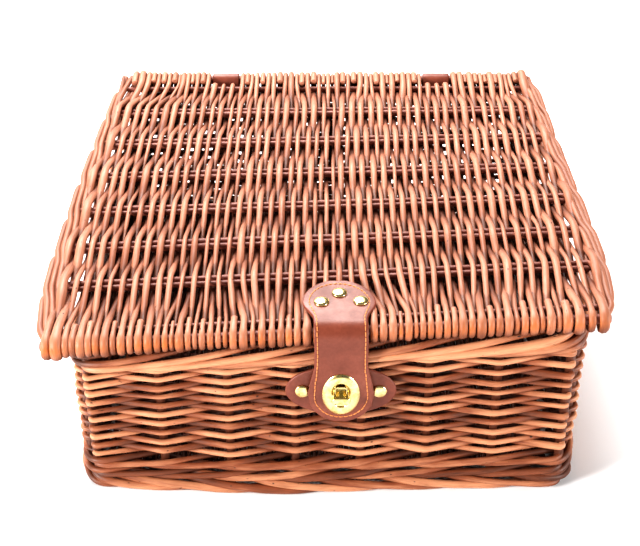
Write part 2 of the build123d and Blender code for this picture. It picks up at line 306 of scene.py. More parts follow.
def willow(name, pale, warm, deep, rubbed_and_unshaded_colour):
    """Stained willow: long grain along the rod, uneven stain, small knots and rubbed places, and the painted
    light and shade that the tint attribute brings.
    """
    graph = new_material(name)
    labels = ("rod", "tint", "stain")
    rod, tint, stain = (graph.add("ShaderNodeAttribute", {}, attribute_name=label) for label in labels)
    along = rod.outputs["Vector"]
    grain = graph.noise(graph.stretch(along, (1.6, 1.6, 0.09)), 1.0, 4.0, 0.6)
    blotch = graph.noise(graph.stretch(along, (0.25, 0.25, 0.035)), 1.0, 3.0, 0.55)
    knots = graph.noise(graph.stretch(along, (0.5, 0.5, 0.22)), 1.0, 1.0, 0.4)

    # tint brings in the painted light and shade, moving the colour between deep and pale
    shift = graph.math("MULTIPLY_ADD", tint.outputs["Fac"], 0.34, 0.07)
    tone = graph.math("MULTIPLY_ADD", blotch, 0.55, shift)
    skin = graph.ramp(tone, [(0.25, deep), (0.5, warm), (0.78, pale)])
    fibres = graph.ramp(grain, [(0.3, (0.72, 0.66, 0.62)), (0.62, (1.0, 1.0, 1.0))])
    colour = graph.mix(0.75, skin, fibres, "MULTIPLY")
    spots = graph.grey_ramp(knots, [(0.73, 0), (0.8, 1)])
    colour = graph.mix(spots, colour, tuple(0.35 * c for c in deep))
    # stain: real rubbing on the knuckles, and along the sticks' borders the place where their painted shade
    # gives way to the lid's colour
    rub_and_unshaded = graph.math("MULTIPLY", stain.outputs["Fac"], blotch)
    colour = graph.mix(graph.math("MULTIPLY", rub_and_unshaded, 2.0, clamp=True), colour, rubbed_and_unshaded_colour)

    return graph.finish({
        "Base Color": colour,
        "Roughness": graph.grey_ramp(grain, [(0.3, 0.66), (0.7, 0.42)]),
        "Normal": graph.bump(grain, 0.35, 0.0004),
        "Specular IOR Level": 0.5,
        "Coat Weight": 0.12,
        "Coat Roughness": 0.42,
    })


def leather_material():
    """Smooth stained leather with a fine grain and faint cloudy wear."""
    graph = new_material("leather")
    spot = graph.add("ShaderNodeTexCoord", {}).outputs["Object"]
    cloud = graph.noise(spot, 38.0, 4.0, 0.6)
    creases = graph.noise(spot, 420.0, 5.0, 0.65)
    pores = graph.add("ShaderNodeTexVoronoi", {"Vector": spot, "Scale": 1500.0}).outputs["Distance"]
    dark, middle, light = (0.165, 0.041, 0.022), (0.215, 0.058, 0.032), (0.27, 0.085, 0.052)
    skin = graph.ramp(cloud, [(0.3, dark), (0.55, middle), (0.75, light)])
    fine = graph.ramp(creases, [(0.35, (0.82, 0.78, 0.76)), (0.6, (1.0, 1.0, 1.0))])
    return graph.finish({
        "Base Color": graph.mix(0.7, skin, fine, "MULTIPLY"),
        "Roughness": graph.grey_ramp(cloud, [(0.3, 0.5), (0.7, 0.36)]),
        "Normal": graph.bump(graph.math("MULTIPLY_ADD", pores, 0.5, creases), 0.25, 0.0002),
    })


def brass_material():
    """Bright rolled brass with a fine brushed grain and a few dull spots."""
    graph = new_material("brass")
    spot = graph.add("ShaderNodeTexCoord", {}).outputs["Object"]
    brushed = graph.noise(graph.stretch(spot, (90.0, 90.0, 1400.0)), 1.0, 3.0, 0.6)
    dull = graph.noise(spot, 260.0, 4.0, 0.6)
    dark, middle, light = (0.66, 0.50, 0.19), (0.86, 0.72, 0.36), (0.93, 0.82, 0.48)
    return graph.finish({
        "Metallic": 1.0,
        "Base Color": graph.ramp(dull, [(0.3, dark), (0.52, middle), (0.75, light)]),
        "Roughness": graph.grey_ramp(dull, [(0.3, 0.32), (0.65, 0.15)]),
        "Normal": graph.bump(brushed, 0.04, 0.0001),
    })


def thread_material():
    """Waxed orange thread, twisted in plies."""
    graph = new_material("thread")
    rod = graph.add("ShaderNodeAttribute", {}, attribute_name="rod")
    plies = graph.noise(graph.stretch(rod.outputs["Vector"], (2.5, 2.5, 1.6)), 1.0, 2.0, 0.5)
    tone = graph.ramp(plies, [(0.35, (0.50, 0.17, 0.045)), (0.65, (0.78, 0.33, 0.11))])
    return graph.finish({"Base Color": tone, "Roughness": 0.55})


# willow colours, from pale to deep
LID_TONES = ((0.47, 0.21, 0.13), (0.345, 0.135, 0.075), (0.18, 0.057, 0.027))
BODY_TONES = ((0.63, 0.295, 0.16), (0.275, 0.086, 0.035), (0.11, 0.031, 0.012))
# the sticks' willow is the lid's willow painted darker and pinker, as painted shade of the strands over them;
# along the borders it turns back to the lid's colour
STICK_SHADE_TONES = ((0.42, 0.17, 0.125), (0.31, 0.105, 0.07), (0.18, 0.05, 0.032))
lid_willow = willow("lid_willow", *LID_TONES, rubbed_and_unshaded_colour=(0.50, 0.14, 0.025))
body_willow = willow("body_willow", *BODY_TONES, rubbed_and_unshaded_colour=(0.50, 0.12, 0.017))
stick_willow = willow("stick_willow", *STICK_SHADE_TONES, rubbed_and_unshaded_colour=LID_TONES[1])
leather = leather_material()
brass = brass_material()
thread = thread_material()


# ---------------------------------------------------------------- the hamper's handmade twist
TWIST = 0.062
TWIST_RISE = 1.3
SPREAD_LEFT = 4.8
SPREAD_RIGHT = 4.5
BOW = 6.5
BOW_X = -35.0
BOW_REACH = 85.0
BOW_HEIGHT = 50.0
SQUEEZE_REACH = 12.0
SQUEEZE_BOTTOM = 118.0
SQUEEZE_RISE = 6.0


def forward(points):
    """0 at the back edge of the lid, 1 at its front edge."""
    return np.clip((back_stick_y - points[:, 1]) / (back_stick_y - front_stick_y), 0, 1.05)


def lid_warp(points):
    """The lid's front edge hangs lower on the left and rises on the right."""
    points = points.copy()
    points[:, 2] += TWIST * (points[:, 0] - strap_x) * forward(points)
    return points


def body_warp(points):
    """The body follows the lid's twist at the rim and stands level on its foot. It is wider at the front, and
    the foot of the front wall bows outward. The hinge loops squeeze the rim."""
    points = points.copy()
    spread = np.where(points[:, 0] < 0, SPREAD_LEFT, SPREAD_RIGHT)
    bow = BOW * np.exp(-((points[:, 0] - BOW_X) / BOW_REACH) ** 2)
    bow *= np.clip(1 - points[:, 2] / BOW_HEIGHT, 0, 1)
    points[:, 1] -= bow * forward(points) ** 4
    points[:, 0] += spread * np.clip(points[:, 0] / stake_half_x, -1, 1) ** 3 * forward(points)
    height = np.clip(points[:, 2] / rim_top, 0, 1) ** TWIST_RISE
    points[:, 2] += TWIST * (points[:, 0] - strap_x) * forward(points) * height
    for x in loop_x.values():
        reach = np.abs(points[:, 0] - x) - loop_half
        held = np.clip(1 - reach / SQUEEZE_REACH, 0, 1) * (points[:, 1] > mid_y)
        held *= np.clip((points[:, 2] - SQUEEZE_BOTTOM) / SQUEEZE_RISE, 0, 1)
        inside = np.clip(points[:, 1], loop_inner_y, loop_outer_y)
        points[:, 1] += held * (inside - points[:, 1])
    return points


# ---------------------------------------------------------------- lid
# the lid's half width to the left and to the right of its middle line, at places from front to back
HALF_PLACES = [-195.5, -184.0, -160.0, -120.0, -60.0, 15.0, 90.0, 160.0, 186.0, 195.5]
HALF_LEFT = [204.0, 207.5, 212.0, 213.0, 210.5, 206.0, 199.5, 193.0, 186.0, 177.0]
HALF_RIGHT = [195.0, 201.0, 204.5, 206.5, 204.0, 200.0, 196.5, 194.0, 190.5, 184.0]
strand_count = 90
strand_radius = 2.1
strand_group = 12
strands_cut = 3
strands_cut_behind = 2
side_share = 0.09
stick_radius = 2.5
pair_offset = 3.1
edge_stick_radius = 3.8
border_width = 10.5
border_radius = 2.3
side_rod_insets = (9.5, 13.6)
side_rod_drop = 2.4
bay = (row_y[-1] - row_y[0]) / (len(row_y) - 1)


def lid_edge(y, side):
    """The x of the lid's left (side -1) or right (side +1) edge at a place along its depth."""
    return side * np.interp(y - mid_y, HALF_PLACES, HALF_LEFT if side < 0 else HALF_RIGHT)


def across(y, share, inset=border_width):
    """The x of a strand that lies at a share, 0 to 1, of the lid's width between its borders."""
    left, right = lid_edge(y, -1) + inset, lid_edge(y, 1) - inset
    return left + share * (right - left)


def arc(y, z, radius, start, end, x, count=9):
    """Points round a stick along X. Angles are in degrees from the back, by way of the top."""
    angles = np.radians(np.linspace(start, end, count))
    return [(x, y + radius * np.cos(a), z + radius * np.sin(a)) for a in angles]


def edge_end(kind, x, edge_y, inner_y, radius, toward, drop=0.0):
    """How a strand leaves the weave at an edge: "over" both sticks and down, "under" and back on top of the
    edge, or "cut" below. toward is -1 at the front edge and +1 at the back edge, and drop lengthens the bend
    downward."""
    wrap = edge_stick_radius + radius
    lift = stick_radius + radius
    upper = arc(edge_y, lid_z, wrap, 90.0, 90.0 - toward * 90, x, 6)
    lower = arc(edge_y, lid_z - drop, wrap, 90.0 - toward * 90, 90.0 - toward * 185, x, 6)
    if kind == "over":
        path = [(x, inner_y, lid_z + lift)] + upper + lower
        path.append((x, edge_y - toward * 10, lid_z - wrap + 1.5 - drop))
    elif kind == "under":
        path = [(x, inner_y, lid_z - lift)] + lower[::-1] + upper[::-1]
        path.append((x, edge_y - toward * rng.uniform(13, 18), lid_z + wrap - 0.8))
    else:
        path = [(x, inner_y, lid_z - lift), (x, inner_y + toward * 5, lid_z - lift)]
    return path


def packed(kinds, radii, low, high):
    """Side by side places for the strands whose ends show, and between their neighbours for the cut ones."""
    widths = np.where(np.array(kinds) == "cut", 0.0, radii)
    places = np.cumsum(widths) - widths / 2
    return low + (high - low) * places / widths.sum()


def edge_kinds(count, group, cut_per_group, over_first):
    """How each strand meets an edge: every second one goes over, and some others in each group are cut."""
    kinds = np.where((np.arange(count) + over_first) % 2 == 0, "under", "over")
    for start in range(0, count, group):
        under = [k for k in range(start, min(start + group, count)) if kinds[k] == "under"]
        kinds[rng.choice(under, min(cut_per_group, len(under)), replace=False)] = "cut"
    return kinds.tolist()


def in_notch(x):
    """Whether a place along the back edge is inside one of the notches round the hinge loops."""
    return any(abs(x - middle) < loop_half + 2.5 for middle in loop_x.values())


def strand_layout():
    """Every strand's radius, the way it meets the front and back edges, and where it lies there."""
    count, group = strand_count, strand_group
    radii = strand_radius * np.clip(rng.normal(1, 0.17, count), 0.7, 1.36)
    shares = (np.arange(count) + 0.5) / count
    radii *= 1 + 0.3 * np.clip(1 - np.minimum(shares, 1 - shares) / side_share, 0, 1)
    front = edge_kinds(count, group, strands_cut, 1)
    left, right = lid_edge(front_stick_y, -1) + 4.0, lid_edge(front_stick_y, 1) - 3.0
    front_x = np.empty(count)
    for start in range(0, count, group):
        part = slice(start, min(start + group, count))
        low, high = (left + (right - left) * k / count for k in (part.start, part.stop))
        front_x[part] = packed(front[part], radii[part], low, high)
    natural = across(back_inner_y, shares)
    back = edge_kinds(count, group, strands_cut_behind, len(row_y) % 2)
    back_x = natural.copy()
    for k in range(count):
        if in_notch(natural[k]):
            back[k] = "notch" if back[k] == "over" else "cut"
    edges = [lid_edge(back_stick_y, -1) + 7]
    for x in sorted(loop_x.values()):
        edges += [x - loop_half - 1.5, x + loop_half + 1.5]
    edges.append(lid_edge(back_stick_y, 1) - 7)
    for low, high in zip(edges[::2], edges[1::2]):
        run = [k for k in range(count) if low - 4 < natural[k] < high + 4 and not in_notch(natural[k])]
        back_x[run] = packed([back[k] for k in run], radii[run], low, high)
    return radii, shares, front, front_x, back, back_x


def strand_middle(index, share, radius):
    """A strand's path over and under the pairs of sticks. It stays low for a while round a pair it goes
    under, except near the lid's sides."""
    path = []
    lean = rng.normal(0, 0.45)
    dip = np.clip(min(share, 1 - share) / side_share, 0, 1)
    for number, y in enumerate(row_y, start=1):
        x = across(y, share) + rng.normal(0, 0.3) + lean
        height = (stick_radius + radius) * rng.uniform(0.97, 1.1)
        if (index + number) % 2 == 0:
            path += [(x, y - pair_offset - 2.0, lid_z + height), (x, y + pair_offset, lid_z + height)]
        else:
            low = lid_z - height - dip
            path += [(x, y - pair_offset - 7.0 * dip, low), (x, y + pair_offset + 5.0 * dip, low)]
    return path


def knuckle_stain(points):
    """Where a strand bends down over the front edge, its stain is rubbed to a bright orange."""
    near = 1 - np.abs(points[:, 2] - lid_z - 1.0) / 5.5
    return np.clip(near, 0, 1) * np.clip((front_stick_y - points[:, 1]) / 3, 0, 1) * rng.uniform(0.3, 0.9)


def lid_painted_shading(points):
    """Painted light and shade: strands are painted paler where they stand proud above the sticks, and darker
    below them where shade falls.
    """
    return 0.85 * np.clip((points[:, 2] - lid_z) / 5.0, -1.3, 1) - 0.05


def knuckle_swell(points):
    """A strand is a little flat, and it is squashed wider where it bends over the front edge stick."""
    return 1.07 + 0.17 * np.clip((front_stick_y + 5.0 - points[:, 1]) / 6.0, 0, 1)


def make_lid_weave():
    """The strands, in three pieces side by side."""
    radii, shares, front, front_x, back, back_x = strand_layout()
    lift = stick_radius + strand_radius
    ways = list(zip(radii, shares, front, front_x, back, back_x))
    for part, label in enumerate(("left", "middle", "right")):
        rods = Rods(up=(1, 0, 0), step=2.4, reach=5.0, warp=lid_warp)
        for index in range(strand_count * part // 3, strand_count * (part + 1) // 3):
            radius, share, front_way, x, back_way, last_x = ways[index]
            path = edge_end(front_way, x, front_stick_y, front_inner_y, radius, -1, drop=2.4)[::-1]
            path += strand_middle(index, share, radius)
            if back_way == "notch":
                path.append((last_x, back_inner_y - 3, lid_z + lift))
                path += arc(back_inner_y, lid_z, lift, 90, -60, last_x)
            else:
                path += edge_end(back_way, last_x, back_stick_y, back_inner_y, radius, 1)
            taper = rng.choice([-1, 1]) * rng.uniform(0.05, 0.25)
            rods.add(path, radius, taper=taper, swell=knuckle_swell, shade=lid_painted_shading, stain=knuckle_stain)
        nodes = ["lid_weave"] if part == 1 else []
        rods.make(f"lid_strands_{label}", lid_willow, "lid", "lid_willow", nodes)


# how a stick's end turns along a border: how many bays forward, how far in from the edge, and its height
LEFT_TURN = (
    (0.0, 17.0, 0.0), (0.0, 12.0, -4.2), (0.02, 5.0, -4.6), (0.1, 2.6, -2.4), (0.25, 2.4, 0.2),
    (0.95, 3.3, 1.2), (1.25, 6.6, 1.6), (1.9, 7.6, 1.2), (2.25, 10.6, 1.0), (2.8, 11.8, 0.2),
    (3.1, 12.8, -3.0),
)
RIGHT_TURN = (
    (0.0, 17.0, 0.3), (0.06, 13.5, 3.0), (0.3, 11.6, 4.0), (0.9, 10.6, 2.6), (1.2, 7.2, 2.2),
    (1.85, 6.2, 1.0), (2.15, 2.8, 0.4), (2.8, 2.4, -1.6), (3.1, 5.0, -4.4),
)


def turned_end(y, side):
    """A stick's end. On the left it goes under the border, out to the edge and forward beside it, inward by a
    rod each bay. On the right it goes over the border rods from inside, outward by a rod each bay."""
    plan = LEFT_TURN if side < 0 else RIGHT_TURN
    stretch = bay * rng.uniform(0.96, 1.04)
    path = []
    for ahead, inset, height in plan:
        forward_y = y - ahead * stretch
        path.append((lid_edge(forward_y, side) - side * inset, forward_y, lid_z + height))
    return path


def in_front_corner(path):
    """Keeps a border rod's end behind the front edge stick."""
    return [(x, max(y, front_stick_y + 2), z) for x, y, z in path]


def unshaded_border_share(points):
    """1 along the side borders, where the sticks lose their painted shade and take the lid's colour, and 0
    inside, where the painted shade of the strands over them stays.
    """
    inside = np.minimum(points[:, 0] - lid_edge(points[:, 1], -1), lid_edge(points[:, 1], 1) - points[:, 0])
    return np.clip((16.0 - inside) / 4.0, 0, 1)


def make_lid_sticks():
    """The cross sticks. The front one of a pair turns into the left border, and the back one into the
    right border."""
    for number, y in enumerate(row_y, start=1):
        rods = Rods(sides=9, step=2.6, reach=7.0, warp=lid_warp)
        front, back = y - pair_offset, y + pair_offset
        left_x, right_x = lid_edge(y, -1), lid_edge(y, 1)
        left = in_front_corner(turned_end(front, -1))[::-1]
        left += [(right_x - 40, front, lid_z), (right_x - 10, front, lid_z - 1)]
        rods.add(left, stick_radius * rng.uniform(0.94, 1.06), taper=-0.12, stain=unshaded_border_share)
        right = [(left_x + 10, back, lid_z - 1), (left_x + 40, back, lid_z)]
        right += in_front_corner(turned_end(back, 1))
        rods.add(right, stick_radius * rng.uniform(0.94, 1.06), taper=0.12, stain=unshaded_border_share)
        rods.make(f"lid_sticks_{number}", stick_willow, "lid", "stick_willow", [f"lid_stick_pair_{number}"])
    edges = (
        ("lid_front_stick", front_stick_y, edge_stick_radius, 2.5),
        ("lid_back_stick", back_stick_y, edge_stick_radius, 4.0),
        ("lid_front_inner_stick", front_inner_y, stick_radius, 9.0),
        ("lid_back_inner_stick", back_inner_y, stick_radius, 9.0),
    )
    for name, y, radius, short in edges:
        rods = Rods(sides=12, step=4.0, reach=12.0, warp=lid_warp)
        left_x, right_x = lid_edge(y, -1) + short, lid_edge(y, 1) - short
        rods.add([(left_x, y, lid_z), (0, y, lid_z), (right_x, y, lid_z)], radius)
        rods.make(f"{name}_rod", stick_willow, "lid", "stick_willow", [name])


def add_side_rods(rods, side):
    """Two long rods under a side border that close the gap between it and the weave."""
    for inset in side_rod_insets:
        path = []
        for y in np.linspace(front_stick_y + 6, back_stick_y - 5, 9):
            x = lid_edge(y, side) - side * (inset + rng.normal(0, 0.4))
            path.append((x, y, lid_z - side_rod_drop))
        rods.add(path, strand_radius, taper=0.2)


def make_lid_borders():
    """The border rods that start at the back edge, and the ones under the bent stick ends."""
    # for each side: how far past the back stick its rods reach, and where each rod's turn starts, with how
    # many of the turn's first points are left out
    plans = (
        ("left", -1, 5, ((back_stick_y + 62, 5), (back_stick_y + 30, 4), (back_inner_y + 2, 2))),
        ("right", 1, 3, ((back_stick_y + 82, 4), (back_stick_y + 40, 3), (back_inner_y, 1))),
    )
    for label, side, past, starts in plans:
        rods = Rods(sides=8, step=3.0, reach=8.0, warp=lid_warp)
        last_y = back_stick_y + past
        for start, first in starts:
            path = [p for p in turned_end(start, side)[first:] if p[1] < last_y]
            path = [(path[0][0], last_y, lid_z)] + in_front_corner(path)
            rods.add(path, border_radius, taper=0.15)
        add_side_rods(rods, side)
        rods.make(f"lid_border_rods_{label}", lid_willow, "lid", "lid_willow", [f"lid_border_{label}"])


# ---------------------------------------------------------------- body
WALLS = ("front", "right", "back", "left")
STAKES_PER_SIDE = 8
front_pitch = 48.3
side_pitch = 49.2
stake_radius = 3.2
rand_radius = 2.15
back_rand_share = 1.2
rand_pitch = 4.5
waling_radius = 2.6
waling_out = 6.2
border_rod_radius = 2.75
base_rod_count = 80
base_rod_radius = 2.0
base_rod_lift = 4.6
base_stick_radius = 3.6


def stake_ring():
    """Every stake's place and outward direction, anticlockwise from the front left, seen from above."""
    places = []
    steps = np.arange(STAKES_PER_SIDE) - (STAKES_PER_SIDE - 1) / 2
    for x in steps * front_pitch:
        places.append((x, mid_y - stake_half_y))
    for y in steps * side_pitch:
        places.append((stake_half_x, mid_y + y))
    for x in -steps * front_pitch:
        places.append((x, mid_y + stake_half_y))
    for y in -steps * side_pitch:
        places.append((-stake_half_x, mid_y + y))
    places = np.array(places)
    ahead = np.roll(places, -1, 0) - np.roll(places, 1, 0)
    ahead /= np.linalg.norm(ahead, axis=1, keepdims=True)
    outward = np.stack([ahead[:, 1], -ahead[:, 0]], axis=1)
    return places, outward


STAKES, OUTWARD = stake_ring()
RING = len(STAKES)


def beside(index, offset, z):
    """A point beside a stake, offset outward (or inward when negative)."""
    index %= RING
    x, y = STAKES[index] + OUTWARD[index] * offset
    return (x, y, z)


def between(index, share, offset, z):
    """A point between a stake and the next, offset outward."""
    a, b = index % RING, (index + 1) % RING
    x, y = STAKES[a] * (1 - share) + STAKES[b] * share
    x, y = np.array([x, y]) + (OUTWARD[a] * (1 - share) + OUTWARD[b] * share) * offset
    return (x, y, z)


def rods_by_wall(sides, step, reach):
    """An empty collection of rods for each wall."""
    return {side: Rods(sides=sides, step=step, reach=reach, warp=body_warp) for side in WALLS}


def make_by_wall(walls, label, nodes):
    """Each wall's rods as one piece, in place of that wall's CAD node."""
    for side, rods in walls.items():
        rods.make(f"{label}_{side}", body_willow, "basket", "body_willow", [f"{nodes}_{side}"])


def body_painted_shading(points):
    """Painted light and shade: rods are painted paler where they stand proud of the stakes, and darker inside
    the walls where shade falls.
    """
    beyond_x = np.abs(points[:, 0]) - stake_half_x
    beyond_y = np.abs(points[:, 1] - mid_y) - stake_half_y
    return 0.95 * np.clip(np.maximum(beyond_x, beyond_y) / 6.0, -1.3, 1) - 0.15


BAND_SHRINK = np.array([0.985, 0.985, 1.0])


def band_painted_shading(points):
    """The heavier rods of the bands stand further out than the walls' rods, so their painted light and shade
    counts from there, set a little darker.
    """
    return body_painted_shading(points * BAND_SHRINK) - 0.4


def make_walls():
    """Plain weave of single rods. Each rod goes outside every second stake, and both its ends rest inside."""
    bottom = wall_bottom - 3
    rows = int((rim_top - 17 - bottom) / rand_pitch) + 1
    walls = rods_by_wall(8, 1.9, 2.4)
    for row in range(rows):
        z = bottom + row * rand_pitch
        lifts = rng.normal(0, 0.35, RING)
        bulges = rng.uniform(0.92, 1.14, RING)
        joints = []
        for number in range(len(WALLS)):
            along = 2 * rng.integers(0, STAKES_PER_SIDE // 2)
            joints.append(number * STAKES_PER_SIDE + along + (row + 1) % 2)
        joints.append(joints[0] + RING)
        for side, first, last in zip(WALLS, joints, joints[1:]):
            radius = rand_radius * np.clip(rng.normal(1, 0.09), 0.82, 1.2)
            radius *= back_rand_share if side == "back" else 1.0
            inside = -(stake_radius + radius) * 1.25
            path = [between(first - 1, 0.55, inside, z + 1.0)]
            for index in range(first, last + 1):
                out = 1 if (index + row) % 2 == 0 else -1
                offset = out * (stake_radius + radius) * bulges[index % RING]
                path.append(beside(index, offset, z + lifts[index % RING]))
            path.append(between(last, 0.45, inside, z - 1.0))
            walls[side].add(path, radius, taper=rng.uniform(-0.15, 0.15), shade=body_painted_shading)
    make_by_wall(walls, "wall_rods", "wall_weave")


def make_stakes():
    """The upright stakes inside the walls."""
    for number, side in enumerate(WALLS):
        up = (1, 0, 0) if side in ("front", "back") else (0, 1, 0)
        rods = Rods(up=up, sides=8, step=5.0, warp=body_warp)
        for index in range(number * STAKES_PER_SIDE, (number + 1) * STAKES_PER_SIDE):
            path = [beside(index, 0, z) for z in (4.0, 70.0, rim_top - 8)]
            # tint -0.5 paints the stakes deep: painted shade inside the walls
            rods.add(path, stake_radius * rng.uniform(0.92, 1.05), taper=0.1, tint=-0.5)
        rods.make(f"stake_rods_{side}", body_willow, "basket", "stick_willow", [f"stakes_{side}"])


def strokes(label, radius, levels, plan, nodes, reach=12.0, tint=0.0):
    """A band of overlapping strokes, one starting at every stake. plan lists, for each point of a stroke,
    how many stakes on it lies, its outward offset and its height."""
    walls = rods_by_wall(9, 3.0, reach)
    for level in levels:
        for index in range(RING):
            path = []
            for ahead, offset, height in plan:
                whole = int(np.floor(ahead))
                z = level + (height + rng.normal(0, 0.25))
                path.append(between(index + whole, ahead - whole, offset * rng.uniform(0.96, 1.05), z))
            size = radius * np.clip(rng.normal(1, 0.08), 0.85, 1.18)
            tone = tint + rng.uniform(0, 1)
            rods = walls[WALLS[index // STAKES_PER_SIDE]]
            rods.add(path, size, taper=rng.uniform(0.0, 0.25), tint=tone, shade=band_painted_shading)
    make_by_wall(walls, label, nodes)


def make_bands():
    """Waling above the foot, the foot border and the border round the rim."""
    waling_low = box_mm("waling_front")[0][2]
    wale_plan = (
        (0.0, -5.0, 0.5), (0.45, 0.0, 0.5), (1.0, waling_out, 1.2), (1.5, waling_out, 2.6),
        (2.0, waling_out, 4.6), (2.55, 0.5, 6.0), (3.0, -5.0, 6.0),
    )
    foot_plan = (
        (0.0, -3.0, 11.5), (0.4, 4.0, 11.5), (0.75, 7.6, 9.8), (1.3, 8.6, 7.2),
        (2.0, 8.0, 4.2), (2.5, 3.0, 3.4), (2.9, -3.0, 3.4),
    )
    rim_plan = (
        (0.0, -5.0, -17.5), (0.45, 1.0, -17.0), (1.0, 7.4, -15.5), (1.6, 7.8, -13.5), (2.2, 7.6, -10.5),
        (2.8, 6.0, -7.0), (3.3, 1.5, -3.6), (3.8, -4.0, -3.2), (4.3, -6.5, -7.0),
    )
    strokes("waling_rods", waling_radius, [waling_low - 3.0, waling_low + 7.0], wale_plan, "waling")
    strokes("foot_rods", border_rod_radius, [0.0], foot_plan, "foot_border", reach=16.0)
    strokes("rim_rods", border_rod_radius, [rim_top], rim_plan, "rim_border", reach=16.0, tint=0.45)


def make_base():
    """The woven bottom and its cross sticks."""
    low, high = box_mm("base_weave")
    middle = (low[2] + high[2]) / 2
    sticks_low, sticks_high = box_mm("base_sticks")
    stick_y = np.linspace(sticks_low[1] + 4, sticks_high[1] - 4, 7)
    rods = Rods(sides=8, step=6.0, reach=12.0)
    for y in stick_y:
        rods.add([(-high[0], y, middle), (0, y, middle), (high[0], y, middle)], base_stick_radius)
    rods.make("base_stick_rods", stick_willow, "basket", "stick_willow", ["base_sticks"])
    rods = Rods(up=(1, 0, 0), sides=7, step=5.0, reach=9.0)
    for index in range(base_rod_count):
        x = ((index + 0.5) / base_rod_count * 2 - 1) * (high[0] - 1)
        radius = base_rod_radius * rng.uniform(0.85, 1.15)
        path = [(x, low[1] + 1, middle)]
        for number, y in enumerate(stick_y):
            out = 1 if (index + number) % 2 == 0 else -1
            path.append((x + rng.normal(0, 0.4), y, middle + out * base_rod_lift))
        path.append((x, high[1] - 1, middle))
        # the bottom's rods are painted darker, with a random tone, as painted shade inside the hamper
        rods.add(path, radius, tint=rng.uniform(-0.6, 0.2))
    rods.make("base_rods", body_willow, "basket", "body_willow", ["base_weave"])


# ---------------------------------------------------------------- leather
# how far in from a cut edge the leather's rows of points lie; at the last one it has its full thickness
EDGE_STEPS = np.array([0.0, 0.12, 0.45, 1.1])


def edge_round(distance):
    """How thick leather is near its cut edge, as a share of its full thickness."""
    inside = np.clip(distance / EDGE_STEPS[-1], 0, 1)
    return 0.3 + 0.7 * np.sqrt(1 - (1 - inside) ** 2)


def grid_mesh(front, back, open_cells=None, closed=False):
    """Closed mesh of a front and a back grid of points, joined along their outline and round any open cells.
    closed joins the last row to the first."""
    rows, columns = front.shape[:2]
    verts = np.concatenate([front.reshape(-1, 3), back.reshape(-1, 3)])
    span = rows if closed else rows - 1
    solid = np.ones((span, columns - 1), bool) if open_cells is None else ~open_cells
    offset = rows * columns
    faces = []

    def corner(row, column, behind=0):
        return (row % rows) * columns + column + behind

    for r in range(span):
        for c in range(columns - 1):
            if not solid[r, c]:
                continue
            quad = [corner(r, c), corner(r, c + 1), corner(r + 1, c + 1), corner(r + 1, c)]
            faces.append(quad)
            faces.append([k + offset for k in reversed(quad)])
            neighbours = ((r - 1, c, 0, 1), (r, c + 1, 1, 2), (r + 1, c, 2, 3), (r, c - 1, 3, 0))
            for nr, nc, a, b in neighbours:
                wrapped = nr % span if closed else nr
                if 0 <= wrapped < span and 0 <= nc < columns - 1 and solid[wrapped, nc]:
                    continue
                faces.append([quad[b], quad[a], quad[a] + offset, quad[b] + offset])
    return clean(mesh_mm("grid", verts, faces))


def face_outward(work, mesh):
    """Makes the faces point outward, puts them back in the mesh and shades them smooth."""
    bmesh.ops.recalc_face_normals(work, faces=work.faces)
    work.to_mesh(mesh)
    work.free()
    mesh.polygons.foreach_set("use_smooth", [True] * len(mesh.polygons))
    return mesh


def clean(mesh):
    """Drops the points that no face uses."""
    work = bmesh.new()
    work.from_mesh(mesh)
    bmesh.ops.delete(work, geom=[v for v in work.verts if not v.link_faces], context="VERTS")
    return face_outward(work, mesh)


def weld(mesh):
    """Joins points that lie on each other."""
    work = bmesh.new()
    work.from_mesh(mesh)
    bmesh.ops.remove_doubles(work, verts=work.verts, dist=0.00001)
    bmesh.ops.delete(work, geom=[f for f in work.faces if f.calc_area() < 1e-12], context="FACES_ONLY")
    return face_outward(work, mesh)


tab_low, tab_high = box_mm("strap_tab")
tongue_low, tongue_high = box_mm("strap_tongue")
plate_low, plate_high = box_mm("eyelet_plate")
strap_thickness = tab_high[2] - tab_low[2]
tab_middle_z = (tab_low[2] + tab_high[2]) / 2
tongue_middle_y = (tongue_low[1] + tongue_high[1]) / 2
lock_z = (plate_low[2] + plate_high[2]) / 2
waist_half = 19.0
tab_half = 26.2
tab_skew = 2.2
tongue_half = (tongue_high[0] - tongue_low[0]) / 2
fold_radius = 10.0
stitch_inset = 4.8
stitch_length = 3.5
tab_run = tab_high[1] - (tongue_middle_y + fold_radius)
fold_run = fold_radius * np.pi / 2
tongue_run = tab_middle_z - fold_radius - tongue_low[2]
strap_run = tab_run + fold_run + tongue_run


def strap_point(along, x, lift):
    """A place on the strap: a distance from the tab's end, an x from its middle line, and a height off its
    middle."""
    along = np.asarray(along, float)
    turn = np.clip((along - tab_run) / fold_run, 0, 1) * np.pi / 2
    past = np.maximum(along - tab_run - fold_run, 0)
    before = np.minimum(along, tab_run)
    y = tab_high[1] - before - fold_radius * np.sin(turn)
    z = tab_middle_z - fold_radius * (1 - np.cos(turn)) - past
    skew = -tab_skew * np.clip(1 - along / (tab_run + fold_run), 0, 1)
    return np.stack([strap_x + skew + x, y - lift * np.sin(turn), z + lift * np.cos(turn)], axis=-1)


def strap_half(along, inset=0.0, waist=waist_half):
    """Half the strap's width at a distance from the tab's end. An inset gives a line inside the outline."""
    along = np.asarray(along, float)
    tab_round = tab_half - inset
    end_round = tongue_half - inset
    at_tab = along - tab_half
    at_end = along - (strap_run - tongue_half)
    tab = np.sqrt(np.clip(tab_round ** 2 - np.minimum(at_tab, 0) ** 2, 0, None))
    end = np.sqrt(np.clip(end_round ** 2 - np.maximum(at_end, 0) ** 2, 0, None))

    def ease(t):
        t = np.clip(t, 0, 1)
        return t * t * (3 - 2 * t)

    neck = ease(at_tab / 20.0)
    flare = ease((at_end + 30.0) / 30.0)
    return np.where(along < strap_run / 2, tab + (waist - tab_round) * neck, waist + (end - waist) * flare)


